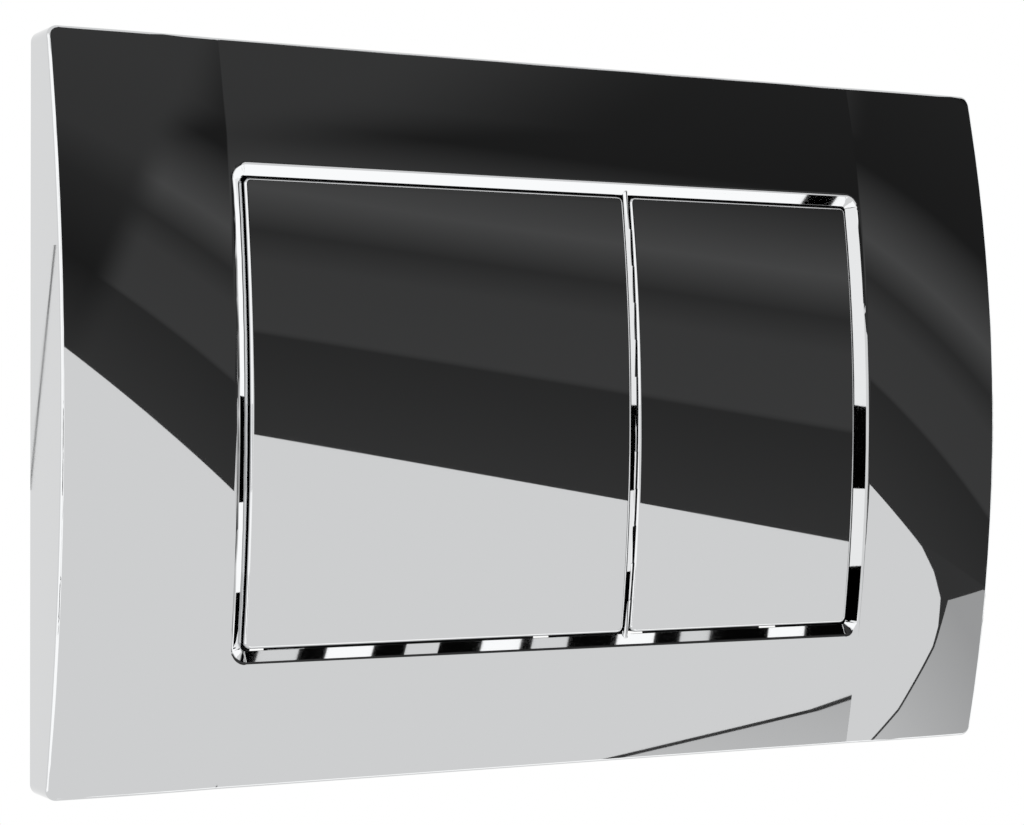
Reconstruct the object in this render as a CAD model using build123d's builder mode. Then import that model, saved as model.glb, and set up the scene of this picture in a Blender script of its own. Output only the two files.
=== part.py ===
from build123d import *
import os
from math import sqrt

# Flush button plate of a concealed cistern, in millimetres.
# +Z is up, the front faces -Y, and the wall is the plane y = 0. A depth is measured forwards from the wall,
# so what lies inside the wall has a negative depth.

# Plate shell
opening_width = 167.3
opening_height = 109.5
side_margin = 39.85
top_margin = 27.75
edge_depth = 10.6  # of the front arc at the top and bottom edges
crown_depth = 20.9  # of the front arc at mid height
side_crown = 0.7  # bulge of the side panels across their width
crease_offset = 0.75  # from the opening to the crease where a side panel starts
crease_round = 6.0
shell_wall = 2.5
plate_corner = 2.5
plate_edge_round = 0.7

# Bevelled rim of the opening
bevel_width = 2.7
bevel_depth = 1.75
lip_round = 1.2
throat_corner = 1.0

# Bridge of the plate between the two buttons
bridge_clearance = 0.35
bridge_sink = 1.0  # below the front arc
bridge_root = 1.2  # of each end inside the rim
bridge_round = 0.5

# Buttons
button_clearance = 0.45
button_sink = 1.0  # of the buttons' faces below the plate's arc
button_gap = 1.9
full_flush_width = 96.55
button_wall = 2.5
button_corner = 1.6
button_edge_round = 0.75
skirt_wall = 2.0
skirt_height = 4.8
rib_wall = 1.4
rib_height = 2.6
rib_spacing = 20.0
panel_rib_row = 20.0  # height of the side panels' ribs above the middle

# Button hinges
hinge_drop = 9.6  # from a button's top edge down to its hinge
hinge_inset = 3.3  # from a button's inner face back to its hinge
hinge_rod_radius = 1.5
hinge_clearance = 0.06
hinge_rod_overhang = 0.8
lug_inset = 12.0  # from a button's side to the middle of its hinge lug
lug_width = 4.0
lug_radius = 3.2
lug_side_gap = 0.3
post_width = 3.0
post_height = 5.8
hinge_rod_chamfer = 0.3

# Stops that hold the buttons flush
tab_inset = 12.0
tab_width = 9.0
tab_reach = 6.0  # below a button's lower edge
tab_thickness = 2.2
tab_root = 2.0  # of the tab above its own plate, inside the skirt
tab_room = 1.0  # in the carrier, around a tab
bumper_thickness = 1.5
bumper_height = 4.4
bumper_margin = 0.5
bumper_gap = 0.1
bumper_corner = 1.0

# Return springs
spring_room = 1.2  # between a spring's pocket and the room for a tab below it
spring_inset = 12.0
spring_radius = 3.8  # to the middle of the wire
spring_wire = 0.8
spring_turns = 5.0
spring_end_gap = 0.05
spring_seat_rise = 0.4  # of the button's spring seat
spring_seat_radius = 5.2
spigot_radius = 2.9
spigot_height = 2.4
spring_pocket_radius = 4.8
spring_pocket_depth = 1.5

# Push rods
push_arm = 70.0  # from the hinge down to the push rods
push_gap = 0.3
pad_radius = 5.0
pad_thickness = 1.6
rod_radius = 3.5
rod_reach = 48.0  # inside the wall
rod_end_radius = 3.0
rod_end_length = 26.0
rod_tip_chamfer = 1.0
head_radius = 6.5
head_thickness = 4.0
head_grip = 2.5  # of the rod inside its head
head_edge_round = 0.8
flute_count = 14
flute_radius = 0.7
nut_across_flats = 10.5
nut_thickness = 2.2

# Guides of the push rods
guide_clearance = 0.1
cup_clearance = 1.1  # around a rod's head
cup_wall = 1.0
cup_floor_depth = -2.0
cup_floor_wall = 2.0
guide_flange_radius = 10.6
guide_flange_wall = 1.2
sleeve_wall = 2.0
sleeve_length = 10.0
snap_bead_rise = 0.5
snap_bead_length = 0.9

# Carrier and its screws
carrier_back = 1.0
carrier_wall = 2.5
carrier_corner = 6.0
carrier_rim_wall = 2.0
carrier_rim_height = 4.0
carrier_edge = 0.5  # beyond the screw pillars
window_height = 20.0
window_drop = 13.0  # from the hinge down to the windows
window_inset = 9.0
window_corner = 3.0
back_rib_wall = 1.6
back_rib_height = 3.0
back_rib_offset = 4.0  # from the windows to the ribs around them
back_rib_inset = 9.0  # from the carrier's edge to the ends of the long ribs
screw_offset = 4.1  # from the opening to the screws
screw_row = 40.0  # height of the side screws above the middle
pillar_radius = 4.5
pillar_height = 5.0
boss_radius = 3.5
screw_radius = 1.5
screw_length = 8.0
screw_tip_room = 0.4
screw_clearance = 0.25
screw_head_radius = 3.2
screw_head_height = 2.2
screw_head_sink = 1.3  # from the carrier's back to the head
screw_head_clearance = 0.3
screw_head_round = 0.9
screw_recess = 1.2
screw_recess_width = 0.9
screw_recess_span = 3.4

# Mounting frame with its bolts and snaps
frame_thickness = 5.5
frame_base = 2.2
frame_wall = 2.0
frame_corner = 5.0
frame_clearance = 1.5  # around the carrier
frame_side_gap = 3.0  # to the plate's side walls
frame_top_gap = 6.0  # to the plate's top and bottom walls
bolt_inset = 9.0  # from the frame's window to the bolts
bolt_radius = 3.0
bolt_reach = 55.0  # inside the wall
bolt_neck_radius = 2.6
bolt_tip_chamfer = 0.8
bolt_head_radius = 6.0
bolt_head_height = 6.0
bolt_slot_width = 1.8
bolt_slot_depth = 1.8
bolt_clearance = 0.3
slot_travel = 6.0
washer_radius = 6.6
washer_thickness = 1.0
bolt_land_radius = 7.5
snap_spacing = 120.0
snap_width = 10.0
snap_wall = 2.2
snap_barb = 2.2
snap_barb_length = 2.5
snap_head_room = 0.6  # to the plate's inner face
snap_gap = 0.1
ledge_width = 14.0
ledge_thickness = 2.8
ledge_gap = 0.3

# Sizes that follow from these
plate_width = opening_width + 2 * side_margin
plate_height = opening_height + 2 * top_margin
arc_rise = crown_depth - edge_depth
arc_radius = ((plate_height / 2) ** 2 + arc_rise**2) / (2 * arc_rise)
arc_centre = arc_radius - crown_depth  # y of the front arc's axis, inside the wall
crease = opening_width / 2 + crease_offset
panel_middle = (plate_width / 2 + crease) / 2

throat_width = opening_width - 2 * bevel_width
throat_height = opening_height - 2 * bevel_width
button_span = throat_width - 2 * button_clearance
button_height = throat_height - 2 * button_clearance
full_flush_sides = (-button_span / 2, -button_span / 2 + full_flush_width)
half_flush_sides = (full_flush_sides[1] + button_gap, button_span / 2)
buttons = {"full_flush": full_flush_sides, "half_flush": half_flush_sides}
hands = {"left": 0, "right": 1}


def face_depth(height):
    """Depth of the front arc at a height above or below the middle."""
    return crown_depth - arc_radius + sqrt(arc_radius**2 - height**2)


def button_face(height):
    """Depth of the buttons' faces at a height above or below the middle."""
    return face_depth(height) - button_sink


def both_sides(sides, inset):
    """The two places of a paired feature, set in from a button's sides."""
    return sides[0] + inset, sides[1] - inset


def middle(sides):
    return sum(sides) / 2


divider = (full_flush_sides[1] + half_flush_sides[0]) / 2
bridge_width = button_gap - 2 * bridge_clearance
bridge_sides = (divider - bridge_width / 2, divider + bridge_width / 2)
bridge_back = face_depth(throat_height / 2) - shell_wall

hinge_z = button_height / 2 - hinge_drop
hinge_depth = button_face(hinge_z) - button_wall - hinge_inset
push_z = hinge_z - push_arm
skirt_depth = button_face(button_height / 2) - skirt_height
rib_rows = [rib_spacing, 0, -rib_spacing]

tab_end = button_height / 2 + tab_reach
bumper_seat = face_depth(tab_end) - shell_wall - bumper_margin
bumper_z = -(tab_end - bumper_margin - bumper_height / 2)
tab_front = bumper_seat - bumper_thickness - bumper_gap
tab_root_top = -button_height / 2 + skirt_wall + tab_root
tab_room_top = tab_root_top + tab_room
spring_z = tab_room_top + spring_room + spring_pocket_radius

carrier_front = carrier_back + carrier_wall
pillar_seat = carrier_front + pillar_height
screw_x = opening_width / 2 + screw_offset
screw_z = opening_height / 2 + screw_offset
screw_places = [(x, z) for x in (-screw_x, screw_x) for z in (-screw_row, screw_row)]
screw_places += [(divider, -screw_z), (divider, screw_z)]
carrier_width = 2 * (screw_x + pillar_radius + carrier_edge)
carrier_height = 2 * (screw_z + pillar_radius + carrier_edge)
screw_head_back = carrier_back + screw_head_sink
screw_head_front = screw_head_back + screw_head_height
screw_tip = screw_head_front + screw_length

spring_floor = carrier_front - spring_pocket_depth
spring_seat = button_face(spring_z) - button_wall - spring_seat_rise

head_front = skirt_depth - push_gap
head_back = head_front - head_thickness
cup_radius = head_radius + cup_clearance
cup_outer_radius = cup_radius + cup_wall

frame_width = plate_width - 2 * (shell_wall + frame_side_gap)
frame_height = plate_height - 2 * (shell_wall + frame_top_gap)
frame_window_width = carrier_width + 2 * frame_clearance
frame_window_height = carrier_height + 2 * frame_clearance
bolt_x = frame_window_width / 2 + bolt_inset
bolt_places = {"left": -bolt_x, "right": bolt_x}
bolt_head_seat = frame_thickness + washer_thickness
barb_end = frame_height / 2 + snap_barb
barb_front = face_depth(barb_end) - shell_wall - snap_head_room
barb_back = barb_front - snap_barb_length
ledge_front = barb_back - snap_gap
ledge_root = frame_height / 2 + ledge_gap
snap_places = [(x, side) for x in (-snap_spacing / 2, snap_spacing / 2) for side in (-1, 1)]
wall_inside = plate_height / 2 - shell_wall


def at_depth(depth):
    """Plane facing forwards at a depth, with X across and Z up."""
    return Plane.XZ.offset(depth)


def along_rod(x, z):
    """Plane through a rod's axis, with the distance from the axis across and the depth up."""
    return Plane(origin=(x, 0, z), x_dir=(1, 0, 0), z_dir=(0, 0, -1))


def save(piece, name):
    piece.part.label = name
    export_step(piece.part, f"parts/{name}.step")


def arched_block(width, height, inset):
    """Block from the wall to the front, with the plate's arched and crowned skin set back by an inset."""
    radius = arc_radius - inset
    bulge_x = (width / 2 + crease) / 2
    with BuildPart() as block:
        # The half section is drawn beyond the arc's axis, so that no seam crosses the front.
        with BuildSketch(Plane.XY) as section:
            with BuildLine():
                skin = arc_centre + radius
                Line((-crease, skin), (crease, skin))
                for side in (-1, 1):
                    ThreePointArc(
                        (side * crease, skin),
                        (side * bulge_x, skin + side_crown),
                        (side * width / 2, skin),
                    )
                    Line((side * width / 2, skin), (side * width / 2, arc_centre))
                Line((-width / 2, arc_centre), (width / 2, arc_centre))
            make_face()
            creases = section.vertices().filter_by(lambda v: abs(abs(v.X) - crease) < crease_offset)
            fillet(creases, radius=crease_round)
        revolve(axis=Axis((0, arc_centre, 0), (1, 0, 0)))
        with BuildSketch(at_depth(0)):
            Rectangle(plate_width + side_margin, height)
        extrude(amount=crown_depth + arc_rise, mode=Mode.INTERSECT)
    return block.part


def arched_prism(sides, height, corner, back, inset):
    """Prism from a back depth to the front arc, which is set back by an inset."""
    with BuildPart() as prism:
        with BuildSketch(at_depth(back)):
            with Locations((middle(sides), 0)):
                RectangleRounded(sides[1] - sides[0], height, corner)
        extrude(amount=crown_depth + arc_rise)
        with BuildSketch(Plane.YZ):
            with Locations((arc_centre, 0)):
                Circle(arc_radius - inset)
        extrude(amount=plate_width, both=True, mode=Mode.INTERSECT)
    return prism.part


os.makedirs("parts", exist_ok=True)

# Bridge: a slim bar across the opening, deepest at mid height, with a rounded front
with BuildPart() as bridge:
    add(arched_prism(bridge_sides, throat_height + 2 * bridge_root, bridge_round, bridge_back, bridge_sink))
    face = bridge.faces().filter_by(GeomType.CYLINDER).sort_by(SortBy.AREA)[-1]
    fillet(face.edges(), radius=bridge_round)

# Front plate: a hollow arched shell with a bevelled opening
cavity = arched_block(plate_width - 2 * shell_wall, plate_height - 2 * shell_wall, shell_wall)
with BuildPart() as front_plate:
    add(arched_block(plate_width, plate_height, 0))
    fillet(front_plate.edges().filter_by(Axis.Y), radius=plate_corner)
    with BuildSketch(at_depth(0)):
        RectangleRounded(throat_width, throat_height, throat_corner)
    extrude(amount=crown_depth + arc_rise, mode=Mode.SUBTRACT)

    face = front_plate.faces().filter_by(GeomType.CYLINDER).sort_by(SortBy.AREA)[-1]
    chamfer(face.inner_wires()[0].edges(), length=bevel_width, length2=bevel_depth, reference=face)
    face = front_plate.faces().filter_by(GeomType.CYLINDER).sort_by(SortBy.AREA)[-1]
    fillet(face.inner_wires()[0].edges(), radius=lip_round)

    outline = front_plate.edges().filter_by(Axis.Y, reverse=True).filter_by(
        lambda e: e.center().Y < -edge_depth / 2
        and (
            abs(e.center().X) > plate_width / 2 - plate_corner
            or abs(e.center().Z) > plate_height / 2 - plate_corner
        )
    )
    fillet(outline, radius=plate_edge_round)
    add(cavity, mode=Mode.SUBTRACT)
    add(bridge.part)

    # Screw bosses, bumper seats, snap ledges and ribs behind the front
    for x, z in screw_places:
        with BuildSketch(at_depth(pillar_seat)):
            with Locations((x, z)):
                Circle(boss_radius)
        extrude(amount=face_depth(z) - shell_wall / 2 - pillar_seat)
    for sides in buttons.values():
        with BuildSketch(at_depth(bumper_seat)):
            with Locations(*[(x, bumper_z) for x in both_sides(sides, tab_inset)]):
                Rectangle(tab_width, bumper_height)
        extrude(amount=face_depth(bumper_z) - shell_wall / 2 - bumper_seat)
    for x, z in snap_places:
        with BuildSketch(at_depth(ledge_front - ledge_thickness)):
            with Locations((x, z * (ledge_root + wall_inside + shell_wall / 2) / 2)):
                Rectangle(ledge_width, wall_inside + shell_wall / 2 - ledge_root)
        extrude(amount=ledge_thickness)
    for x in (-panel_middle, panel_middle):
        for z in (-panel_rib_row, panel_rib_row):
            with BuildSketch(at_depth(face_depth(z) - shell_wall - rib_height)):
                with Locations((x, z)):
                    Rectangle(side_margin - shell_wall, rib_wall)
            extrude(amount=rib_height + shell_wall / 2)
    with BuildSketch(at_depth(pillar_seat)):
        with Locations(*screw_places):
            Circle(screw_radius)
    extrude(amount=screw_tip + screw_tip_room - pillar_seat, mode=Mode.SUBTRACT)
save(front_plate, "front_plate")


# Buttons: skirted caps that follow the plate's arc, a little below it
def flush_button(sides):
    core = (sides[0] + skirt_wall, sides[1] - skirt_wall)
    with BuildPart() as button:
        add(arched_prism(sides, button_height, button_corner, skirt_depth, button_sink))
        face = button.faces().filter_by(GeomType.CYLINDER).sort_by(SortBy.AREA)[-1]
        fillet(face.edges(), radius=button_edge_round)
        core_height = button_height - 2 * skirt_wall
        add(
            arched_prism(core, core_height, button_corner / 2, 0, button_sink + button_wall),
            mode=Mode.SUBTRACT,
        )
        for z in rib_rows:
            with BuildSketch(at_depth(button_face(z) - button_wall - rib_height)):
                with Locations((middle(sides), z)):
                    Rectangle(core[1] - core[0] + skirt_wall, rib_wall)
            extrude(amount=rib_height + button_wall / 2)

        # Hinge lugs
        lug_length = button_face(hinge_z) - button_wall / 2 - hinge_depth
        for x in both_sides(sides, lug_inset):
            with BuildSketch(Plane.YZ.offset(x - lug_width / 2)):
                with Locations((-hinge_depth, hinge_z)):
                    Circle(lug_radius)
                with Locations((-hinge_depth - lug_length / 2, hinge_z)):
                    Rectangle(lug_length, 2 * lug_radius)
                with Locations((-hinge_depth, hinge_z)):
                    Circle(hinge_rod_radius + hinge_clearance, mode=Mode.SUBTRACT)
            extrude(amount=lug_width)

        # Pad that presses the push rod, on a cross of ribs
        with BuildSketch(at_depth(skirt_depth)):
            with Locations((middle(sides), push_z)):
                Circle(pad_radius)
        extrude(amount=pad_thickness)
        with BuildSketch(at_depth(skirt_depth)):
            with Locations((middle(sides), push_z)):
                Rectangle(2 * pad_radius, rib_wall)
                Rectangle(rib_wall, 2 * pad_radius)
        extrude(amount=button_face(push_z) - button_wall / 2 - skirt_depth)

        # Spring seats with their spigots
        spring_places = [(x, spring_z) for x in both_sides(sides, spring_inset)]
        with BuildSketch(at_depth(spring_seat)):
            with Locations(*spring_places):
                Circle(spring_seat_radius)
        extrude(amount=button_face(spring_z) - button_wall / 2 - spring_seat)
        with BuildSketch(at_depth(spring_seat)):
            with Locations(*spring_places):
                Circle(spigot_radius)
        extrude(amount=-spigot_height)

        # Stop tabs that reach behind the plate, below the opening
        tab_back = tab_front - tab_thickness
        root_front = skirt_depth + tab_root
        for x in both_sides(sides, tab_inset):
            with BuildSketch(Plane.YZ.offset(x - tab_width / 2)):
                with BuildLine():
                    Polyline(
                        (-tab_back, -tab_end),
                        (-tab_front, -tab_end),
                        (-tab_front, -button_height / 2),
                        (-root_front, -button_height / 2),
                        (-root_front, tab_root_top),
                        (-tab_back, tab_root_top),
                        close=True,
                    )
                make_face()
            extrude(amount=tab_width)
    return button


# Rod that a button rocks on, through its lugs and the carrier's posts
def hinge_rod(sides):
    overhang = lug_width / 2 + lug_side_gap + post_width + hinge_rod_overhang
    start, end = both_sides(sides, lug_inset - overhang)
    with BuildPart() as rod:
        with BuildSketch(Plane.YZ.offset(start)):
            with Locations((-hinge_depth, hinge_z)):
                Circle(hinge_rod_radius)
        extrude(amount=end - start)
        chamfer(rod.edges(), length=hinge_rod_chamfer)
    return rod


# Open coil spring between the carrier's pocket and a button's seat
def return_spring(x):
    start = spring_floor + spring_wire / 2 + spring_end_gap
    length = spring_seat - spring_end_gap - spring_wire / 2 - start
    with BuildPart() as spring:
        with BuildLine():
            coil = Helix(
                pitch=length / spring_turns,
                height=length,
                radius=spring_radius,
                center=(x, -start, spring_z),
                direction=(0, -1, 0),
            )
        with BuildSketch(Plane(origin=coil @ 0, z_dir=coil % 0)):
            Circle(spring_wire / 2)
        sweep(path=coil, is_frenet=True)
    return spring


# Rubber pad on the plate's back, in front of a stop tab
def bumper(x):
    with BuildPart() as pad:
        with BuildSketch(at_depth(bumper_seat)):
            with Locations((x, bumper_z)):
                RectangleRounded(tab_width, bumper_height, bumper_corner)
        extrude(amount=-bumper_thickness)
    return pad


# Stepped bush in the carrier: a cup that clears the rod's head, and a sleeve that guides the rod
def rod_guide(x):
    bore = rod_radius + guide_clearance
    cup_bottom = cup_floor_depth - cup_floor_wall
    with BuildPart() as guide:
        with BuildSketch(along_rod(x, push_z)):
            with BuildLine():
                Polyline(
                    (bore, cup_floor_depth),
                    (cup_radius, cup_floor_depth),
                    (cup_radius, carrier_front + guide_flange_wall),
                    (guide_flange_radius, carrier_front + guide_flange_wall),
                    (guide_flange_radius, carrier_front),
                    (cup_outer_radius, carrier_front),
                    (cup_outer_radius, carrier_back),
                    (cup_outer_radius + snap_bead_rise, carrier_back),
                    (cup_outer_radius, carrier_back - snap_bead_length),
                    (cup_outer_radius, cup_bottom),
                    (bore + sleeve_wall, cup_bottom),
                    (bore + sleeve_wall, cup_bottom - sleeve_length),
                    (bore, cup_bottom - sleeve_length),
                    close=True,
                )
            make_face()
        revolve(axis=Axis((x, 0, push_z), (0, 1, 0)))
    return guide


# Rod that reaches the flush valve inside the wall, with a thinner end for the valve's lever
def push_rod(x):
    with BuildPart() as rod:
        with BuildSketch(at_depth(-rod_reach)):
            with Locations((x, push_z)):
                Circle(rod_end_radius)
        extrude(amount=rod_end_length)
        with BuildSketch(at_depth(rod_end_length - rod_reach)):
            with Locations((x, push_z)):
                Circle(rod_radius)
        extrude(amount=rod_reach - rod_end_length + head_back + head_grip)
        chamfer(rod.edges().sort_by(Axis.Y)[-1], length=rod_tip_chamfer)
    return rod


# Fluted head screwed on the rod to set its length
def rod_head(x):
    with BuildPart() as head:
        with BuildSketch(at_depth(head_back)):
            with Locations((x, push_z)):
                Circle(head_radius)
        extrude(amount=head_thickness)
        fillet(head.edges().sort_by(Axis.Y)[0], radius=head_edge_round)
        with BuildSketch(at_depth(head_back)):
            with Locations((x, push_z)):
                with PolarLocations(head_radius, flute_count):
                    Circle(flute_radius)
        extrude(amount=head_thickness, mode=Mode.SUBTRACT)
        with BuildSketch(at_depth(head_back)):
            with Locations((x, push_z)):
                Circle(rod_radius)
        extrude(amount=head_grip, mode=Mode.SUBTRACT)
    return head


# Hexagon nut behind the head
def lock_nut(x):
    with BuildPart() as nut:
        with BuildSketch(at_depth(head_back)):
            with Locations((x, push_z)):
                RegularPolygon(nut_across_flats / 2, 6, major_radius=False)
                Circle(rod_radius, mode=Mode.SUBTRACT)
        extrude(amount=-nut_thickness)
    return nut


for name, sides in buttons.items():
    save(flush_button(sides), f"{name}_button")
    save(hinge_rod(sides), f"{name}_hinge_rod")
    save(rod_guide(middle(sides)), f"{name}_rod_guide")
    save(push_rod(middle(sides)), f"{name}_push_rod")
    save(rod_head(middle(sides)), f"{name}_rod_head")
    save(lock_nut(middle(sides)), f"{name}_lock_nut")
    for hand, place in hands.items():
        save(return_spring(both_sides(sides, spring_inset)[place]), f"{name}_spring_{hand}")
        save(bumper(both_sides(sides, tab_inset)[place]), f"{name}_bumper_{hand}")

# Carrier: a shallow tray screwed behind the opening
with BuildPart() as button_carrier:
    with BuildSketch(at_depth(carrier_back)):
        RectangleRounded(carrier_width, carrier_height, carrier_corner)
    extrude(amount=carrier_wall + carrier_rim_height)
    with BuildSketch(at_depth(carrier_front)):
        RectangleRounded(
            carrier_width - 2 * carrier_rim_wall,
            carrier_height - 2 * carrier_rim_wall,
            carrier_corner - carrier_rim_wall,
        )
    extrude(amount=carrier_rim_height, mode=Mode.SUBTRACT)
    for sides in buttons.values():
        with BuildSketch(at_depth(carrier_back)):
            with Locations((middle(sides), hinge_z - window_drop - window_height / 2)):
                RectangleRounded(sides[1] - sides[0] - 2 * window_inset, window_height, window_corner)
            with Locations((middle(sides), push_z)):
                Circle(cup_outer_radius)
        extrude(amount=carrier_wall, mode=Mode.SUBTRACT)

        # Room below the buttons for the stop tabs
        room_middle = (tab_room_top - carrier_height / 2) / 2
        with BuildSketch(at_depth(carrier_back)):
            with Locations(*[(x, room_middle) for x in both_sides(sides, tab_inset)]):
                Rectangle(tab_width + 2 * tab_room, tab_room_top + carrier_height / 2)
        extrude(amount=carrier_wall + carrier_rim_height, mode=Mode.SUBTRACT)

        # Pockets and spigots for the return springs
        spring_places = [(x, spring_z) for x in both_sides(sides, spring_inset)]
        with BuildSketch(at_depth(carrier_front)):
            with Locations(*spring_places):
                Circle(spring_pocket_radius)
        extrude(amount=-spring_pocket_depth, mode=Mode.SUBTRACT)
        with BuildSketch(at_depth(spring_floor)):
            with Locations(*spring_places):
                Circle(spigot_radius)
        extrude(amount=spigot_height)

        # Hinge posts on both sides of each lug
        post_length = hinge_depth - carrier_front
        for lug in both_sides(sides, lug_inset):
            for x in (lug - lug_width / 2 - lug_side_gap - post_width, lug + lug_width / 2 + lug_side_gap):
                with BuildSketch(Plane.YZ.offset(x)):
                    with Locations((-carrier_front - post_length / 2, hinge_z)):
                        Rectangle(post_length, post_height)
                    with Locations((-hinge_depth, hinge_z)):
                        Circle(post_height / 2)
                        Circle(hinge_rod_radius, mode=Mode.SUBTRACT)
                extrude(amount=post_width)

    # Ribs on the back, above and below the windows and beside them
    window_top = hinge_z - window_drop
    rib_heights = (window_top + back_rib_offset, window_top - window_height - back_rib_offset)
    rib_sides = (full_flush_sides[0], divider, half_flush_sides[1])
    with BuildSketch(at_depth(carrier_back)):
        with Locations(*[(0, z) for z in rib_heights]):
            Rectangle(carrier_width - 2 * back_rib_inset, back_rib_wall)
        with Locations(*[(x, window_top - window_height / 2) for x in rib_sides]):
            Rectangle(back_rib_wall, rib_heights[0] - rib_heights[1])
    extrude(amount=-back_rib_height)

    # Screw pillars with their sunk head seats
    with BuildSketch(at_depth(carrier_back)):
        with Locations(*screw_places):
            Circle(pillar_radius)
    extrude(amount=carrier_wall + pillar_height)
    with BuildSketch(at_depth(carrier_back)):
        with Locations(*screw_places):
            Circle(screw_radius + screw_clearance)
    extrude(amount=carrier_wall + pillar_height, mode=Mode.SUBTRACT)
    with BuildSketch(at_depth(carrier_back)):
        with Locations(*screw_places):
            Circle(screw_head_radius + screw_head_clearance)
    extrude(amount=screw_head_front - carrier_back, mode=Mode.SUBTRACT)
save(button_carrier, "button_carrier")

# Pan head screws through the carrier into the plate's bosses
with BuildPart() as carrier_screws:
    with BuildSketch(at_depth(screw_head_back)):
        with Locations(*screw_places):
            Circle(screw_head_radius)
    extrude(amount=screw_head_height)
    fillet(carrier_screws.edges().group_by(Axis.Y)[-1], radius=screw_head_round)
    with BuildSketch(at_depth(screw_head_back)):
        with Locations(*screw_places):
            Rectangle(screw_recess_span, screw_recess_width)
            Rectangle(screw_recess_width, screw_recess_span)
    extrude(amount=screw_recess, mode=Mode.SUBTRACT)
    with BuildSketch(at_depth(screw_head_front)):
        with Locations(*screw_places):
            Circle(screw_radius)
    extrude(amount=screw_length)
save(carrier_screws, "carrier_screws")

# Mounting frame: a channelled ring on the wall, with bolt lands and snap tongues
with BuildPart() as mounting_frame:
    with BuildSketch(at_depth(0)):
        RectangleRounded(frame_width, frame_height, frame_corner)
        RectangleRounded(frame_window_width, frame_window_height, carrier_corner, mode=Mode.SUBTRACT)
    extrude(amount=frame_thickness)
    with BuildSketch(at_depth(frame_base)):
        RectangleRounded(
            frame_width - 2 * frame_wall,
            frame_height - 2 * frame_wall,
            frame_corner - frame_wall,
        )
        RectangleRounded(
            frame_window_width + 2 * frame_wall,
            frame_window_height + 2 * frame_wall,
            carrier_corner + frame_wall,
            mode=Mode.SUBTRACT,
        )
    extrude(amount=frame_thickness - frame_base, mode=Mode.SUBTRACT)
    bolt_spots = [(x, 0) for x in bolt_places.values()]
    with BuildSketch(at_depth(0)):
        with Locations(*bolt_spots):
            SlotCenterToCenter(slot_travel, 2 * bolt_land_radius, rotation=90)
    extrude(amount=frame_thickness)
    with BuildSketch(at_depth(0)):
        with Locations(*bolt_spots):
            SlotCenterToCenter(slot_travel, 2 * (bolt_radius + bolt_clearance), rotation=90)
    extrude(amount=frame_thickness, mode=Mode.SUBTRACT)
    for x, side in snap_places:
        with BuildSketch(Plane.YZ.offset(x - snap_width / 2)):
            with BuildLine():
                Polyline(
                    (0, side * (frame_height / 2 - snap_wall)),
                    (0, side * frame_height / 2),
                    (-barb_back, side * frame_height / 2),
                    (-barb_back, side * barb_end),
                    (-barb_front, side * (frame_height / 2 + snap_gap)),
                    (-barb_front, side * (frame_height / 2 - snap_wall)),
                    close=True,
                )
            make_face()
        extrude(amount=snap_width)
save(mounting_frame, "mounting_frame")

# Fixing bolts and washers
for hand, x in bolt_places.items():
    with BuildPart() as fixing_bolt:
        with BuildSketch(at_depth(bolt_head_seat)):
            with Locations((x, 0)):
                Circle(bolt_head_radius)
        extrude(amount=bolt_head_height)
        fillet(fixing_bolt.edges().sort_by(Axis.Y)[0], radius=head_edge_round)
        with BuildSketch(at_depth(bolt_head_seat)):
            with Locations((x, 0)):
                with PolarLocations(bolt_head_radius, flute_count):
                    Circle(flute_radius)
        extrude(amount=bolt_head_height, mode=Mode.SUBTRACT)
        with BuildSketch(at_depth(bolt_head_seat + bolt_head_height)):
            with Locations((x, 0)):
                Rectangle(bolt_slot_width, 2 * bolt_head_radius)
        extrude(amount=-bolt_slot_depth, mode=Mode.SUBTRACT)
        with BuildSketch(at_depth(0)):
            with Locations((x, 0)):
                Circle(bolt_neck_radius)
        extrude(amount=bolt_head_seat)
        with BuildSketch(at_depth(0)):
            with Locations((x, 0)):
                Circle(bolt_radius)
        extrude(amount=-bolt_reach)
        chamfer(fixing_bolt.edges().sort_by(Axis.Y)[-1], length=bolt_tip_chamfer)
    save(fixing_bolt, f"fixing_bolt_{hand}")

    with BuildPart() as fixing_washer:
        with BuildSketch(at_depth(frame_thickness)):
            with Locations((x, 0)):
                Circle(washer_radius)
                Circle(bolt_radius + bolt_clearance, mode=Mode.SUBTRACT)
        extrude(amount=washer_thickness)
    save(fixing_washer, f"fixing_washer_{hand}")
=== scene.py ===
import math

import bpy
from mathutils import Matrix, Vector


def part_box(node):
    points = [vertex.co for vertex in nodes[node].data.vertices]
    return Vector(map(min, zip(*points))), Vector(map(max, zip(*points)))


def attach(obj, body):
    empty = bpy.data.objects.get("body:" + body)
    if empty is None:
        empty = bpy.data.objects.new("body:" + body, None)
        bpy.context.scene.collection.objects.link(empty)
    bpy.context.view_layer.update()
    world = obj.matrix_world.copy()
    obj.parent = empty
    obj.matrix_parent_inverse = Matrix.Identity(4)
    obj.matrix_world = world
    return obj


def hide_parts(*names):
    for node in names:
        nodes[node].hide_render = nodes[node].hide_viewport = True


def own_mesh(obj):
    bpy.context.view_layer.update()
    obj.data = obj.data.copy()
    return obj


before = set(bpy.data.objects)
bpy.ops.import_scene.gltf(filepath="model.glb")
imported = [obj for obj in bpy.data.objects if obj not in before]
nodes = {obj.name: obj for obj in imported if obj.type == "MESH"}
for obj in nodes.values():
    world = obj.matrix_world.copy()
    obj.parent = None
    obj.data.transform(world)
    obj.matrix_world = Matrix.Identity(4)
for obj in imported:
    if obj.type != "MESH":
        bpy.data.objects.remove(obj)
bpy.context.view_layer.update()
mm = 0.001  # sizes below are in millimetres unless a note says metres
mergeGap = 0.001 * mm  # corners nearer than this become one
noiseLow, noiseHigh = 0.3, 0.7  # a noise keeps mostly between these
print("frame loaded:", len(nodes), "CAD nodes")


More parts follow.
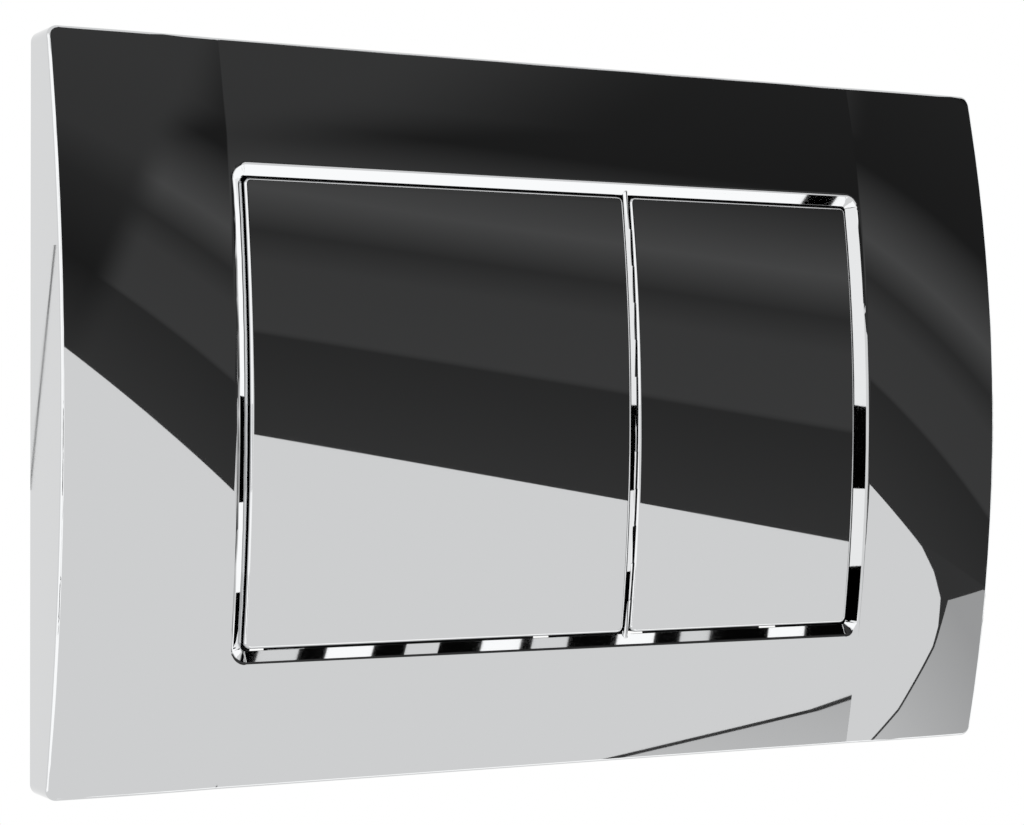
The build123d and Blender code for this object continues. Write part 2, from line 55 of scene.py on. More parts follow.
def linearColour(code):
    # "#CCCCCC" as the linear colour that sockets take
    parts = [int(code[i:i + 2], 16) / 255 for i in (1, 3, 5)]
    return [c / 12.92 if c <= 0.04045 else ((c + 0.055) / 1.055) ** 2.4 for c in parts] + [1.0]


def addNode(tree, kind, values=None, links=None, **settings):
    node = tree.nodes.new(kind)
    for name, value in settings.items():
        setattr(node, name, value)
    for socket, value in (values or {}).items():
        node.inputs[socket].default_value = value
    for socket, source in (links or {}).items():
        tree.links.new(source, node.inputs[socket])
    return node


def newMaterial(name):
    material = bpy.data.materials.new(name)
    material.use_nodes = True
    material.node_tree.nodes.clear()
    return material, material.node_tree


def setRamp(node, stops):
    elements = node.color_ramp.elements
    elements[0].position, elements[1].position = stops[0][0], stops[-1][0]
    elements[0].color, elements[1].color = linearColour(stops[0][1]), linearColour(stops[-1][1])
    for place, code in stops[1:-1]:
        elements.new(place).color = linearColour(code)


def clearSelection():
    if bpy.context.object and bpy.context.object.mode != "OBJECT":
        bpy.ops.object.mode_set(mode="OBJECT")
    bpy.ops.object.select_all(action="DESELECT")


def giveMaterial(obj, material):
    obj.data.materials.clear()
    obj.data.materials.append(material)


# Bright chrome on moulded ABS: a neutral mirror, with patches where the polish is a shade less sharp
chromeLook = {
    "colour": "#CDCECF",
    "roughLow": 0.008,
    "roughHigh": 0.02,
    "haze": 30.0,  # size of the patches
}


def brightChrome(name, look):
    material, tree = newMaterial(name)
    place = addNode(tree, "ShaderNodeTexCoord").outputs["Object"]
    haze = addNode(
        tree, "ShaderNodeTexNoise", {"Scale": 1 / (look["haze"] * mm), "Detail": 4.0}, {"Vector": place}
    )
    polish = addNode(
        tree, "ShaderNodeMapRange",
        {
            "From Min": noiseLow, "From Max": noiseHigh,
            "To Min": look["roughLow"], "To Max": look["roughHigh"],
        },
        {"Value": haze.outputs["Fac"]},
    )
    shader = addNode(
        tree, "ShaderNodeBsdfPrincipled", {"Base Color": linearColour(look["colour"]), "Metallic": 1.0},
        {"Roughness": polish.outputs["Result"]},
    )
    addNode(tree, "ShaderNodeOutputMaterial", links={"Surface": shader.outputs["BSDF"]})
    return material


plateChrome = brightChrome("chromePlatedAbsPlate", chromeLook)
buttonChrome = brightChrome("chromePlatedAbsButton", chromeLook)
print("chrome ready")


def mouldedPlastic(name, look):
    # spark-eroded mould skin: a fine grit in the gloss and relief, with slow flow marks in the tint
    material, tree = newMaterial(name)
    place = addNode(tree, "ShaderNodeTexCoord").outputs["Object"]
    flow = addNode(
        tree, "ShaderNodeTexNoise", {"Scale": 1 / (look["flow"] * mm), "Detail": 3.0}, {"Vector": place}
    )
    tint = addNode(tree, "ShaderNodeValToRGB", links={"Fac": flow.outputs["Fac"]})
    setRamp(tint, [(noiseLow, look["dark"]), (noiseHigh, look["light"])])
    grit = addNode(
        tree, "ShaderNodeTexNoise", {"Scale": 1 / (look["grit"] * mm), "Detail": 2.0}, {"Vector": place}
    )
    gloss = addNode(
        tree, "ShaderNodeMapRange",
        {
            "From Min": noiseLow, "From Max": noiseHigh,
            "To Min": look["roughLow"], "To Max": look["roughHigh"],
        },
        {"Value": grit.outputs["Fac"]},
    )
    relief = addNode(
        tree, "ShaderNodeBump", {"Strength": look["relief"], "Distance": look["gritDepth"] * mm},
        {"Height": grit.outputs["Fac"]},
    )
    shader = addNode(
        tree, "ShaderNodeBsdfPrincipled", {"IOR": look["ior"]},
        {
            "Base Color": tint.outputs["Color"],
            "Roughness": gloss.outputs["Result"],
            "Normal": relief.outputs["Normal"],
        },
    )
    addNode(tree, "ShaderNodeOutputMaterial", links={"Surface": shader.outputs["BSDF"]})
    return material


# Black ABS with a matt eroded skin, which looks dry and slightly grey where light grazes it
carrierLook = {
    "dark": "#1B1B1D", "light": "#232325", "flow": 18.0, "grit": 0.5, "gritDepth": 0.03,
    "relief": 0.35, "roughLow": 0.45, "roughHigh": 0.62, "ior": 1.54,
}
# Light grey polypropylene, satin and a little waxy
frameLook = {
    "dark": "#C9C9C5", "light": "#D3D3CF", "flow": 25.0, "grit": 0.6, "gritDepth": 0.02,
    "relief": 0.3, "roughLow": 0.38, "roughHigh": 0.52, "ior": 1.49,
}
# Natural acetal of the guides: a denser, smoother off-white
guideLook = {
    "dark": "#C6C5BE", "light": "#CFCEC8", "flow": 12.0, "grit": 0.4, "gritDepth": 0.01,
    "relief": 0.25, "roughLow": 0.28, "roughHigh": 0.4, "ior": 1.48,
}
# Extruded acetal rod, smoother still
rodLook = {
    "dark": "#DAD9D3", "light": "#E3E2DD", "flow": 9.0, "grit": 0.3, "gritDepth": 0.008,
    "relief": 0.25, "roughLow": 0.25, "roughHigh": 0.36, "ior": 1.48,
}
# Blue acetal heads, which the fitter turns by hand
headLook = {
    "dark": "#2B5580", "light": "#33608D", "flow": 7.0, "grit": 0.35, "gritDepth": 0.012,
    "relief": 0.3, "roughLow": 0.3, "roughHigh": 0.45, "ior": 1.48,
}
# EPDM rubber: nearly black, dull, with a soft bloom
rubberLook = {
    "dark": "#1E1E1E", "light": "#2A2A29", "flow": 2.5, "grit": 0.25, "gritDepth": 0.03,
    "relief": 0.5, "roughLow": 0.72, "roughHigh": 0.88, "ior": 1.52,
}
carrierAbs = mouldedPlastic("blackAbs", carrierLook)
framePolypropylene = mouldedPlastic("lightGreyPolypropylene", frameLook)
guideAcetal = mouldedPlastic("naturalAcetal", guideLook)
rodAcetal = mouldedPlastic("whiteAcetal", rodLook)
headAcetal = mouldedPlastic("blueAcetal", headLook)
bumperEpdm = mouldedPlastic("blackEpdmRubber", rubberLook)
print("plastics and rubber ready")


def drawnSteel(name, look):
    # the tint drifts slowly, and fine lines run the way the metal was drawn
    material, tree = newMaterial(name)
    place = addNode(tree, "ShaderNodeTexCoord").outputs["Object"]
    cloud = addNode(
        tree, "ShaderNodeTexNoise", {"Scale": 1 / (look["cloud"] * mm), "Detail": 3.0}, {"Vector": place}
    )
    tint = addNode(tree, "ShaderNodeValToRGB", links={"Fac": cloud.outputs["Fac"]})
    setRamp(tint, [(noiseLow, look["dark"]), (noiseHigh, look["light"])])
    squeeze = addNode(tree, "ShaderNodeMapping", {"Scale": look["stretch"]}, {"Vector": place})
    lines = addNode(
        tree, "ShaderNodeTexNoise", {"Scale": 1 / (look["line"] * mm), "Detail": 2.0},
        {"Vector": squeeze.outputs["Vector"]},
    )
    gloss = addNode(
        tree, "ShaderNodeMapRange",
        {
            "From Min": noiseLow, "From Max": noiseHigh,
            "To Min": look["roughLow"], "To Max": look["roughHigh"],
        },
        {"Value": lines.outputs["Fac"]},
    )
    relief = addNode(
        tree, "ShaderNodeBump", {"Strength": look["relief"], "Distance": look["lineDepth"] * mm},
        {"Height": lines.outputs["Fac"]},
    )
    shader = addNode(
        tree, "ShaderNodeBsdfPrincipled", {"Metallic": 1.0},
        {
            "Base Color": tint.outputs["Color"],
            "Roughness": gloss.outputs["Result"],
            "Normal": relief.outputs["Normal"],
        },
    )
    addNode(tree, "ShaderNodeOutputMaterial", links={"Surface": shader.outputs["BSDF"]})
    return material


# Stainless rod, drawn along X: warm grey with lines along its length
hingeLook = {
    "dark": "#B3B1AC", "light": "#C3C1BC", "cloud": 6.0, "line": 0.25, "lineDepth": 0.004, "relief": 0.3,
    "stretch": (0.05, 1.0, 1.0), "roughLow": 0.2, "roughHigh": 0.34,
}
# Patented spring wire: a darker grey with an oily sheen
springLook = {
    "dark": "#8C8B88", "light": "#A3A29E", "cloud": 3.0, "line": 0.2, "lineDepth": 0.004, "relief": 0.3,
    "stretch": (1.0, 1.0, 1.0), "roughLow": 0.24, "roughHigh": 0.36,
}
# Bright zinc plate, passivated clear: a bluish white with faint straw patches
zincLook = {
    "dark": "#BFC3C4", "light": "#C9CDD6", "cloud": 3.5, "line": 0.3, "lineDepth": 0.004, "relief": 0.3,
    "stretch": (1.0, 0.25, 1.0), "roughLow": 0.24, "roughHigh": 0.38,
}
hingeSteel = drawnSteel("stainlessSteelRod", hingeLook)
springSteel = drawnSteel("springSteelWire", springLook)
zincSteel = drawnSteel("zincPlatedSteel", zincLook)
print("metals ready")

finishes = {
    "front_plate": plateChrome,
    "button_carrier": carrierAbs,
    "carrier_screws": zincSteel,
    "mounting_frame": framePolypropylene,
    "fixing_bolt": zincSteel,
    "fixing_washer": zincSteel,
    "button": buttonChrome,
    "hinge_rod": hingeSteel,
    "rod_guide": guideAcetal,
    "push_rod": rodAcetal,
    "rod_head": headAcetal,
    "lock_nut": guideAcetal,
    "spring": springSteel,
    "bumper": bumperEpdm,
}
for name, node in nodes.items():
    words = name
    for extra in ("full_flush_", "half_flush_", "_left", "_right"):
        words = words.replace(extra, "")
    giveMaterial(node, finishes[words])
print("CAD nodes dressed")

# Visible skin of the plate: the CAD's own mesh, with the exact slope of its arc and crowned panels
# at every corner of its facets
skinLook = {
    "arcRadius": 335.55,
    "crownDepth": 20.9,
    "crease": 84.4,  # from the middle of the plate to where a side panel starts
    "creaseHalf": 0.21,  # half of the width over which the crease turns
    "edge": 123.5,
    "sideCrown": 0.7,
    "reach": 0.05,  # how near to the skin a corner has to be
    "lean": 2.5,  # degrees by which a facet of the skin may differ from the exact slope
}


def skinSlope(look, x, z):
    # bulge of the skin beyond the plain arc, and its outward direction
    half = (look["edge"] - look["crease"]) / 2
    bend = (half**2 + look["sideCrown"] ** 2) / (2 * look["sideCrown"])
    across = abs(x) - (look["edge"] + look["crease"]) / 2
    bulge, yaw = 0.0, 0.0
    if abs(x) > look["crease"] - look["creaseHalf"]:
        flank = max(across, -half)
        bulge = math.sqrt(bend**2 - flank**2) - (bend - look["sideCrown"])
        share = (abs(x) - look["crease"] + look["creaseHalf"]) / (2 * look["creaseHalf"])
        yaw = math.copysign(math.asin(flank / bend) * min(share, 1.0), x * flank)
    pitch = math.asin(z / (look["arcRadius"] + bulge))
    outward = (math.sin(yaw), -math.cos(yaw) * math.cos(pitch), math.cos(yaw) * math.sin(pitch))
    return bulge, Vector(outward)


# Bridge between the buttons: its front is pressed down to a slant that faces left
bridgeLook = {
    "left": 16.4,
    "right": 17.6,
    "end": 50.0,  # the last rows, which meet the rim, stay as they are
    "top": 1.0,  # below the arc
    "foot": 1.55,
    "slope": 33.0,  # degrees
    "slack": 0.01,  # on both sides, to find the bridge's corners
    "forwards": 0.5,  # how far a face of the front points forwards, from 0 to 1
}


def slantBridge(mesh, look, skin):
    slope = math.radians(look["slope"])
    axisDepth = skin["crownDepth"] - skin["arcRadius"]
    moved = set()
    for vertex in mesh.vertices:
        x, y, z = vertex.co / mm
        radius = math.hypot(-y - axisDepth, z)
        sink = skin["arcRadius"] - radius
        inside = look["left"] - look["slack"] < x < look["right"] + look["slack"] and abs(z) < look["end"]
        slanted = look["top"] + (look["right"] - x) * math.tan(slope)
        if inside and sink < min(look["foot"], slanted):
            share = (skin["arcRadius"] - slanted) / radius
            vertex.co.y = (-axisDepth - (-y - axisDepth) * share) * mm
            vertex.co.z = z * share * mm
            moved.add(vertex.index)
    mesh.update()
    outward = {}
    for face in mesh.polygons:
        if moved.issuperset(face.vertices) and -face.normal.y > look["forwards"]:
            for corner in face.loop_indices:
                z = mesh.vertices[mesh.loops[corner].vertex_index].co.z / mm
                pitch = math.asin(z / skin["arcRadius"])
                outward[corner] = Vector(
                    (-math.sin(slope), -math.cos(slope) * math.cos(pitch), math.cos(slope) * math.sin(pitch))
                )
        elif moved.intersection(face.vertices):
            for corner in face.loop_indices:
                outward[corner] = face.normal.copy()
    return outward


def exactSkin(node, look):
    clearSelection()
    skin = bpy.data.objects.new("plateSkin", node.data.copy())
    bpy.context.scene.collection.objects.link(skin)
    skin.matrix_world = node.matrix_world
    skin.select_set(True)
    bpy.context.view_layer.objects.active = skin
    bpy.ops.object.transform_apply(location=True, rotation=True, scale=True)
    bpy.ops.object.mode_set(mode="EDIT")
    bpy.ops.mesh.select_all(action="SELECT")
    bpy.ops.mesh.remove_doubles(threshold=mergeGap, use_sharp_edge_from_normals=True)
    bpy.ops.object.mode_set(mode="OBJECT")
    mesh = skin.data
    normals = [corner.vector.copy() for corner in mesh.corner_normals]
    for corner, outward in slantBridge(mesh, bridgeLook, look).items():
        normals[corner] = outward
    axisDepth = look["crownDepth"] - look["arcRadius"]
    changed = 0
    for face in mesh.polygons:
        middle = face.center / mm
        if face.normal.angle(skinSlope(look, middle.x, middle.z)[1]) > math.radians(look["lean"]):
            continue
        for corner in face.loop_indices:
            place = mesh.vertices[mesh.loops[corner].vertex_index].co / mm
            bulge, slope = skinSlope(look, place.x, place.z)
            away = math.hypot(-place.y - axisDepth, place.z) - look["arcRadius"] - bulge
            if abs(away) < look["reach"]:
                normals[corner] = slope
                changed += 1
    mesh.normals_split_custom_set(normals)
    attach(skin, "plate")
    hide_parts(node.name)
    print("plate skin:", changed, "corners set of", len(normals))


exactSkin(nodes["front_plate"], skinLook)

# Return springs: wire coils with closed ends
coilLook = {
    "wire": 0.8,
    "coils": 6.5,
    "closedCoils": 1.0,  # at each end
    "steps": 28,  # along one coil
    "wireSteps": 3,  # around a quarter of the wire
    "smooth": 40.0,  # degrees
    "pressed": 0.5,  # share of the length that is left when the button is down
}


def coilRise(look, turn, length):
    # distance along the axis after a number of turns
    closed, wire = look["closedCoils"], look["wire"]
    openPitch = (length - 2 * closed * wire) / (look["coils"] - 2 * closed)
    low, high = min(turn, closed), max(turn - look["coils"] + closed, 0.0)
    return (low + high) * wire + (turn - low - high) * openPitch


def coilSpring(node, look):
    low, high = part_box(node)
    axisX, axisZ = (low.x + high.x) / 2, (low.z + high.z) / 2
    radius = (high.x - low.x - look["wire"] * mm) / 2
    back = high.y - look["wire"] * mm / 2
    length = (high.y - low.y) / mm - look["wire"]
    count = round(look["coils"] * look["steps"])
    curve = bpy.data.curves.new("springWire", "CURVE")
    curve.dimensions = "3D"
    curve.bevel_depth = look["wire"] * mm / 2
    curve.bevel_resolution = look["wireSteps"]
    curve.use_fill_caps = True
    wire = curve.splines.new("POLY")
    wire.points.add(count)
    for i, point in enumerate(wire.points):
        turn = i / look["steps"]
        angle = turn * 2 * math.pi
        x, z = axisX + radius * math.cos(angle), axisZ + radius * math.sin(angle)
        point.co = (x, back - coilRise(look, turn, length) * mm, z, 1)
    spring = bpy.data.objects.new(f"{node}Coil", curve)
    bpy.context.scene.collection.objects.link(spring)
    clearSelection()
    spring.select_set(True)
    bpy.context.view_layer.objects.active = spring
    bpy.ops.object.convert(target="MESH")
    bpy.ops.object.shade_smooth_by_angle(angle=math.radians(look["smooth"]))
    giveMaterial(spring, springSteel)
    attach(spring, "plate")
    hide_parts(node)
    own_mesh(spring)


for button in ("full_flush", "half_flush"):
    for hand in ("left", "right"):
        coilSpring(f"{button}_spring_{hand}", coilLook)
print("springs wound")

# Fixing bolts: the CAD's own bolt with its shank turned down, and a rolled thread around it
threadLook = {
    "start": 1.0,  # into the wall
    "end": 53.0,
    "pitch": 1.5,
    "core": 2.5,
    "crest": 3.0,
    "steps": 26,  # around one turn
    "shoulder": -0.1,  # where the turned-down shank starts
    "root": 0.05,  # of the thread inside the core
    "halfWidth": 0.45,  # of the thread, as a share of the pitch
    "smooth": 30.0,  # degrees
}


def threadedBolt(node, look):
    low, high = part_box(node)
    axisX, axisZ = (low.x + high.x) / 2, (low.z + high.z) / 2
    clearSelection()
    bolt = bpy.data.objects.new(f"{node}Threaded", nodes[node].data.copy())
    bpy.context.scene.collection.objects.link(bolt)
    bolt.select_set(True)
    bpy.context.view_layer.objects.active = bolt
    for vertex in bolt.data.vertices:
        radius = math.hypot(vertex.co.x - axisX, vertex.co.z - axisZ)
        vertex.select = vertex.co.y > look["shoulder"] * mm and radius > look["core"] * mm
    bpy.ops.object.mode_set(mode="EDIT")
    shrink = look["core"] / look["crest"]
    bpy.ops.transform.resize(value=(shrink, 1, shrink), center_override=(axisX, 0, axisZ))
    bpy.ops.mesh.select_all(action="SELECT")
    bpy.ops.mesh.remove_doubles(threshold=mergeGap, use_sharp_edge_from_normals=True)
    bpy.ops.object.mode_set(mode="OBJECT")

    # the thread's section is a triangle with its tip outwards, wound along the shank
    depth = look["crest"] - look["core"]
    clearSelection()
    bpy.ops.mesh.primitive_circle_add(vertices=3, radius=1.0, fill_type="NOTHING")
    thread = bpy.context.object
    bpy.ops.object.mode_set(mode="EDIT")
    bpy.ops.mesh.select_all(action="SELECT")
    bpy.ops.transform.rotate(value=math.radians(90), orient_axis="Z", center_override=(0, 0, 0))
    bpy.ops.object.mode_set(mode="OBJECT")
    tip = max(vertex.co.x for vertex in thread.data.vertices)
    base = min(vertex.co.x for vertex in thread.data.vertices)
    half = max(vertex.co.y for vertex in thread.data.vertices)
    for vertex in thread.data.vertices:
        share = (vertex.co.x - base) / (tip - base)
        vertex.co.x = (look["core"] - look["root"] + share * (depth + look["root"])) * mm
        vertex.co.y = vertex.co.y / half * look["pitch"] * look["halfWidth"] * mm
    screw = thread.modifiers.new("wind", "SCREW")
    screw.axis = "Y"
    screw.steps = screw.render_steps = look["steps"]
    screw.screw_offset = look["pitch"] * mm
    screw.iterations = round((look["end"] - look["start"]) / look["pitch"])
    bpy.ops.object.modifier_apply(modifier="wind")
    thread.location = (axisX, look["start"] * mm, axisZ)
    bpy.ops.object.transform_apply(location=True, rotation=True, scale=True)
    bpy.ops.object.shade_smooth_by_angle(angle=math.radians(look["smooth"]))
    bolt.select_set(True)
    bpy.context.view_layer.objects.active = bolt
    bpy.ops.object.join()
    giveMaterial(bolt, zincSteel)
    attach(bolt, "plate")
    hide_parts(node)


for hand in ("left", "right"):
    threadedBolt(f"fixing_bolt_{hand}", threadLook)
print("bolts threaded")


# Studio: a pale floor well below the plate, which mirrors don't show, and a white surround
floorLook = {
    "colour": "#F1F0ED",
    "drop": 0.62, "radius": 2.4,  # metres
    "sides": 128,
}

clearSelection()
bpy.ops.mesh.primitive_circle_add(
    vertices=floorLook["sides"], radius=floorLook["radius"], fill_type="NGON",
    location=(0, 0, -floorLook["drop"]),
)
floor = bpy.context.object
floor.name = "studioFloor"
floor.visible_glossy = False
material, tree = newMaterial("paintedFloor")  # matt pale paint
paint = addNode(tree, "ShaderNodeBsdfDiffuse", {"Color": linearColour(floorLook["colour"])})
addNode(tree, "ShaderNodeOutputMaterial", links={"Surface": paint.outputs["BSDF"]})
giveMaterial(floor, material)

worldLook = {"seen": 1.0, "light": 0.62}
world = bpy.data.worlds.new("whiteSurround")
bpy.context.scene.world = world
world.use_nodes = True
tree = world.node_tree
tree.nodes.clear()
path = addNode(tree, "ShaderNodeLightPath")
seen = addNode(
    tree, "ShaderNodeMath", links={0: path.outputs["Is Camera Ray"], 1: path.outputs["Is Glossy Ray"]},
    operation="MAXIMUM",
)
seen = addNode(
    tree, "ShaderNodeMath", links={0: seen.outputs["Value"], 1: path.outputs["Is Transmission Ray"]},
    operation="MAXIMUM",
)
dim = addNode(tree, "ShaderNodeBackground", {"Color": (1, 1, 1, 1), "Strength": worldLook["light"]})
white = addNode(tree, "ShaderNodeBackground", {"Color": (1, 1, 1, 1), "Strength": worldLook["seen"]})
either = addNode(
    tree, "ShaderNodeMixShader",
    links={0: seen.outputs["Value"], 1: dim.outputs["Background"], 2: white.outputs["Background"]},
)
addNode(tree, "ShaderNodeOutputWorld", links={"Surface": either.outputs["Shader"]})
print("floor and surround ready")


# Boards that only the chrome sees, far off around the plate. Places on a board are shares of its distance
# in metres, across and up from where the line to its middle meets it. A turn is in degrees to the right
# of straight ahead, and a tilt is in degrees too.
boardCorners = (("left", "low"), ("right", "low"), ("right", "high"), ("left", "high"))


def farBoard(name, look, material):
    turn, reach = math.radians(look["turn"]), look["distance"]
    if "corners" in look:
        corners = look["corners"]
    else:
        corners = [(look[side], look[level]) for side, level in boardCorners]
    mesh = bpy.data.meshes.new(name)
    mesh.from_pydata([(x * reach, y * reach, 0) for x, y in corners], [], [range(len(corners))])
    board = bpy.data.objects.new(name, mesh)
    bpy.context.scene.collection.objects.link(board)
    board.rotation_euler = (math.radians(90), math.radians(-look["tilt"]), turn)
    board.location = (math.sin(turn) * reach, -math.cos(turn) * reach, 0)
    board.visible_camera = False
    board.visible_diffuse = False
    board.visible_shadow = False
    giveMaterial(board, material)


def shareOfBoard(look, place):
    return (place - look["low"]) / (look["high"] - look["low"])


def plainCloth(name, strength):
    # lit cloth: an even glow with no grain to see from so far
    material, tree = newMaterial(name)
    glow = addNode(tree, "ShaderNodeEmission", {"Color": (1, 1, 1, 1), "Strength": strength})
    addNode(tree, "ShaderNodeOutputMaterial", links={"Surface": glow.outputs["Emission"]})
    return material


# The dark graded flag, to the right of the camera, gives the chrome its dark upper half
flagLook = {
    "distance": 8.0, "turn": 30.0, "tilt": -33.0,
    "low": -0.1, "high": 1.0,
    "left": -1.0, "right": 0.65,
    # the tones are painted spill light, in bands over the dark cloth
    "toneRight": [
        (-0.1, "#3E3E3E"), (0.042, "#343434"), (0.048, "#474747"), (0.15, "#454545"), (0.2, "#363636"),
        (0.265, "#555555"), (0.4, "#242424"), (0.69, "#2A2A2A"), (0.72, "#050505"),
    ],
    "toneLeft": [
        (-0.1, "#393939"), (0.05, "#242424"), (0.2, "#303030"), (0.29, "#3F3F3F"), (0.5, "#424242"),
        (0.62, "#424242"), (0.7, "#050505"),
    ],
    # where the left tone starts and ends to go over into the right one, below and above a height
    "mixStarts": (-0.39, -0.36), "mixEnds": (-0.31, -0.2), "mixHeights": (0.36, 0.46),
    # the right edge fades to a painted white glow along a slanted line, which stands upright above a height
    "fadeStart": 0.44, "fadeEnd": 0.6, "fadeSlant": 0.42, "fadeTop": 0.66,
}
flagReach = flagLook["distance"]
material, tree = newMaterial("paintedSpillCloth")  # black studio cloth with painted spill light in bands: it glows there, and no lamp lights it
place = addNode(tree, "ShaderNodeTexCoord").outputs["Object"]
axes = addNode(tree, "ShaderNodeSeparateXYZ", links={"Vector": place})
up = addNode(
    tree, "ShaderNodeMapRange",
    {"From Min": flagLook["low"] * flagReach, "From Max": flagLook["high"] * flagReach},
    {"Value": axes.outputs["Y"]},
)
limits = {}
for limit, places in (("From Min", flagLook["mixStarts"]), ("From Max", flagLook["mixEnds"])):
    lower, upper = (y * flagReach for y in flagLook["mixHeights"])
    limits[limit] = addNode(
        tree, "ShaderNodeMapRange",
        {
            "From Min": lower, "From Max": upper,
            "To Min": places[0] * flagReach, "To Max": places[1] * flagReach,
        },
        {"Value": axes.outputs["Y"]},
    ).outputs["Result"]
across = addNode(
    tree, "ShaderNodeMapRange", links={"Value": axes.outputs["X"], **limits}, interpolation_type="SMOOTHSTEP"
)
tones = []
for side in ("toneLeft", "toneRight"):
    ramp = addNode(tree, "ShaderNodeValToRGB", links={"Fac": up.outputs["Result"]})
    setRamp(ramp, [(shareOfBoard(flagLook, y), code) for y, code in flagLook[side]])
    tones.append(ramp.outputs["Color"])
mixed = addNode(
    tree, "ShaderNodeMixRGB", links={"Fac": across.outputs["Result"], "Color1": tones[0], "Color2": tones[1]}
)
capped = addNode(
    tree, "ShaderNodeMath", {1: flagLook["fadeTop"] * flagReach}, {0: axes.outputs["Y"]}, operation="MINIMUM",
)
slanted = addNode(
    tree, "ShaderNodeMath", {1: flagLook["fadeSlant"]}, {0: capped.outputs["Value"], 2: axes.outputs["X"]},
    operation="MULTIPLY_ADD",
)
fade = addNode(
    tree, "ShaderNodeMapRange",
    {"From Min": flagLook["fadeStart"] * flagReach, "From Max": flagLook["fadeEnd"] * flagReach},
    {"Value": slanted.outputs["Value"]},
)
mixed = addNode(
    tree, "ShaderNodeMixRGB", {"Color2": (1, 1, 1, 1)},
    {"Fac": fade.outputs["Result"], "Color1": mixed.outputs["Color"]},
)
cloth = addNode(tree, "ShaderNodeEmission", links={"Color": mixed.outputs["Color"]})
addNode(tree, "ShaderNodeOutputMaterial", links={"Surface": cloth.outputs["Emission"]})
farBoard("darkFlag", flagLook, material)

# Bright boards light up the bevels and the rounded edges, and dark bars cross three of them
boardLook = {
    "lowBoard": {
        "distance": 8.0, "turn": 38, "tilt": 16.5, "glow": 1.55,
        "left": -0.6, "right": 0.45, "low": -1.7, "high": -0.68,
    },
    "cornerBoard": {
        "distance": 8.0, "turn": 66, "tilt": 0, "glow": 1.55,
        "left": -0.14, "right": 0.13, "low": -1.0, "high": -0.05,
    },
    "highBoard": {
        "distance": 8.0, "turn": 30, "tilt": -33, "glow": 1.0,
        "left": -1.0, "right": 0.48, "low": 1.0, "high": 2.5,
    },
    "rightBoard": {
        "distance": 8.0, "turn": 90, "tilt": 0, "glow": 1.55,
        "left": -0.3, "right": 0.3, "low": -0.4, "high": 0.6,
    },
    "frontBoard": {
        "distance": 8.0, "turn": -56, "tilt": 0, "glow": 1.55,
        "left": -0.97, "right": 0.97, "low": -0.7, "high": 0.8,
    },
    "lowBar": {
        "distance": 7.0, "turn": 46, "tilt": 0, "glow": 0,
        "left": -0.006, "right": 0.0075, "low": -0.8, "high": -0.67,
    },
    "rightUpperBar": {
        "distance": 7.0, "turn": 90, "tilt": 0, "glow": 0,
        "left": -0.08, "right": 0.08, "low": -0.0875, "high": 0.0245,
    },
    "rightLowerBar": {
        "distance": 7.0, "turn": 90, "tilt": 0, "glow": 0,
        "left": -0.08, "right": 0.08, "low": -0.2235, "high": -0.1835,
    },
    "frontPanel": {
        "distance": 7.5, "turn": -30, "tilt": 0, "glow": 1.3,
        "left": -0.125, "right": 0.08, "low": -0.36, "high": 0.4,
    },
    "frontUpperBar": {
        "distance": 7.0, "turn": -30, "tilt": 0, "glow": 0,
        "left": -0.125, "right": 0.08, "low": -0.1175, "high": 0.021,
    },
    "frontLowerBar": {
        "distance": 7.0, "turn": -30, "tilt": 0, "glow": 0,
        "left": -0.125, "right": 0.08, "low": -0.352, "high": -0.253,
    },
}
for name, look in boardLook.items():
    farBoard(name, look, plainCloth(f"{name}Cloth", look["glow"]))

# A dark cord hangs behind the plate on the left, and its side face shows it as a thin slanted line
cordLook = {
    "distance": 7.0, "turn": -162.07, "tilt": 0.0,
    "corners": [(0.0112, -0.026), (0.012, -0.026), (0.0222, 0.077), (0.0214, 0.077)],
    "glow": 0.25,
}
farBoard("sideCord", cordLook, plainCloth("cordCloth", cordLook["glow"]))

# A row of lamps above the flag, in turn dim and bright, shows as blocks in the opening's lower bevel
rowLook = {
    "distance": 7.6, "turn": 30.0, "tilt": -33.0, "low": 0.72, "high": 0.92, "glows": (1.0, 1.55),
    "spans": [
        (-0.4855, -0.4615), (-0.445, -0.418), (-0.399, -0.38), (-0.3555, -0.3335),
        (-0.327, -0.307), (-0.2795, -0.259), (-0.2445, -0.2285), (-0.1965, -0.177),
    ],
}
lampCloths = [plainCloth(f"rowLamp{glow}", glow) for glow in rowLook["glows"]]
for i, (left, right) in enumerate(rowLook["spans"]):
    farBoard(f"rowLamp{i}", {**rowLook, "left": left, "right": right}, lampCloths[i % len(lampCloths)])

# A grey card with a dark edge, low on the right, shades the plate's lower right corner
cardLook = {
    "distance": 7.4, "turn": 30.0, "tilt": -33.0,
    "corners": [
        (0.434, -0.52), (0.434, -0.33), (0.405, -0.196), (0.365, -0.119), (0.44, -0.046), (0.48, -0.03),
        (0.77, -0.2), (0.55, -0.43),
    ],
    "rim": [
        (0.428, -0.53), (0.428, -0.33), (0.399, -0.198), (0.38, -0.165), (0.343, -0.129), (0.29, -0.11),
        (0.22, -0.098), (0.44, -0.04), (0.48, -0.03), (0.77, -0.2), (0.55, -0.43),
    ],
    "rimGlow": 0.05,
    "rimBehind": 0.1,  # metres
    # painted light: the card's glow is paler towards the floor and greyer higher up
    "paleAt": -0.45, "greyAt": -0.12, "pale": 0.8, "grey": 0.5,
}
cardReach = cardLook["distance"]
material, tree = newMaterial("greyCard")  # glowing card, with painted light that is paler towards the floor
place = addNode(tree, "ShaderNodeTexCoord").outputs["Object"]
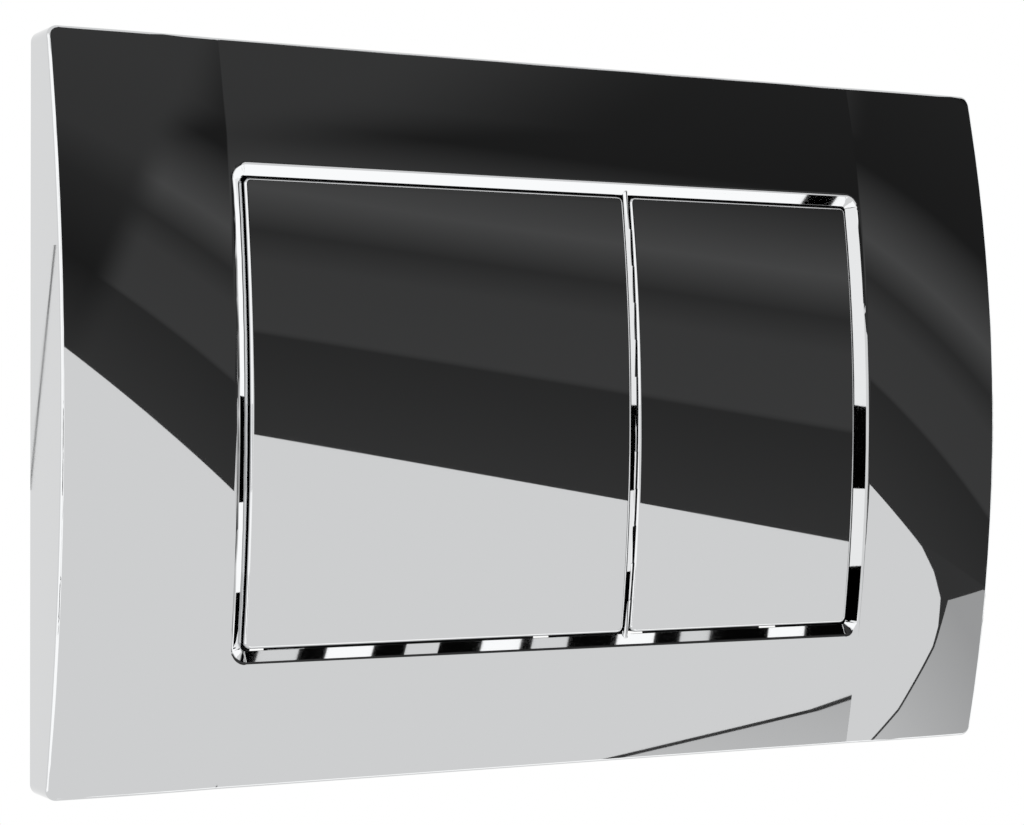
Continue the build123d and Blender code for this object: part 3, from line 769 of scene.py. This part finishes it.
axes = addNode(tree, "ShaderNodeSeparateXYZ", links={"Vector": place})
shade = addNode(
    tree, "ShaderNodeMapRange",
    {
        "From Min": cardLook["paleAt"] * cardReach, "From Max": cardLook["greyAt"] * cardReach,
        "To Min": cardLook["pale"], "To Max": cardLook["grey"],
    },
    {"Value": axes.outputs["Y"]},
)
glow = addNode(tree, "ShaderNodeEmission", links={"Strength": shade.outputs["Result"]})
addNode(tree, "ShaderNodeOutputMaterial", links={"Surface": glow.outputs["Emission"]})
farBoard("cornerCard", cardLook, material)
rimLook = {**cardLook, "distance": cardReach + cardLook["rimBehind"], "corners": cardLook["rim"]}
farBoard("cornerCardRim", rimLook, plainCloth("cardRim", cardLook["rimGlow"]))
print("boards ready")

# Two soft lamps for the plastics and the floor, in metres and watts; the chrome doesn't show them
lampLook = {
    "keyLamp": {"place": (-0.9, -1.3, 1.3), "size": 1.1, "power": 26.0},
    "backLamp": {"place": (0.7, 1.3, 0.9), "size": 1.0, "power": 20.0},
}
for name, look in lampLook.items():
    data = bpy.data.lights.new(name, "AREA")
    data.size = look["size"]
    data.energy = look["power"]
    lamp = bpy.data.objects.new(name, data)
    bpy.context.scene.collection.objects.link(lamp)
    x, y, z = lamp.location = look["place"]
    lamp.rotation_euler = (math.atan2(math.hypot(x, y), z), 0, math.atan2(y, x) + math.pi / 2)
    lamp.visible_glossy = False
print("lamps ready")

# Camera at the photograph's angle, worked out from the plate's edges
cameraLook = {
    "lens": 88.386, "sensor": 36.0,
    "place": (-0.29088, -0.52639, -0.00357),  # metres
    "pitch": 0.386, "turn": -28.484,  # degrees
}
data = bpy.data.cameras.new("photoCamera")
data.lens = cameraLook["lens"]
data.sensor_width = cameraLook["sensor"]
camera = bpy.data.objects.new("photoCamera", data)
bpy.context.scene.collection.objects.link(camera)
camera.location = cameraLook["place"]
camera.rotation_euler = (math.radians(90 + cameraLook["pitch"]), 0, math.radians(cameraLook["turn"]))
bpy.context.scene.camera = camera
bpy.context.scene.view_settings.view_transform = "Standard"
print("camera ready")
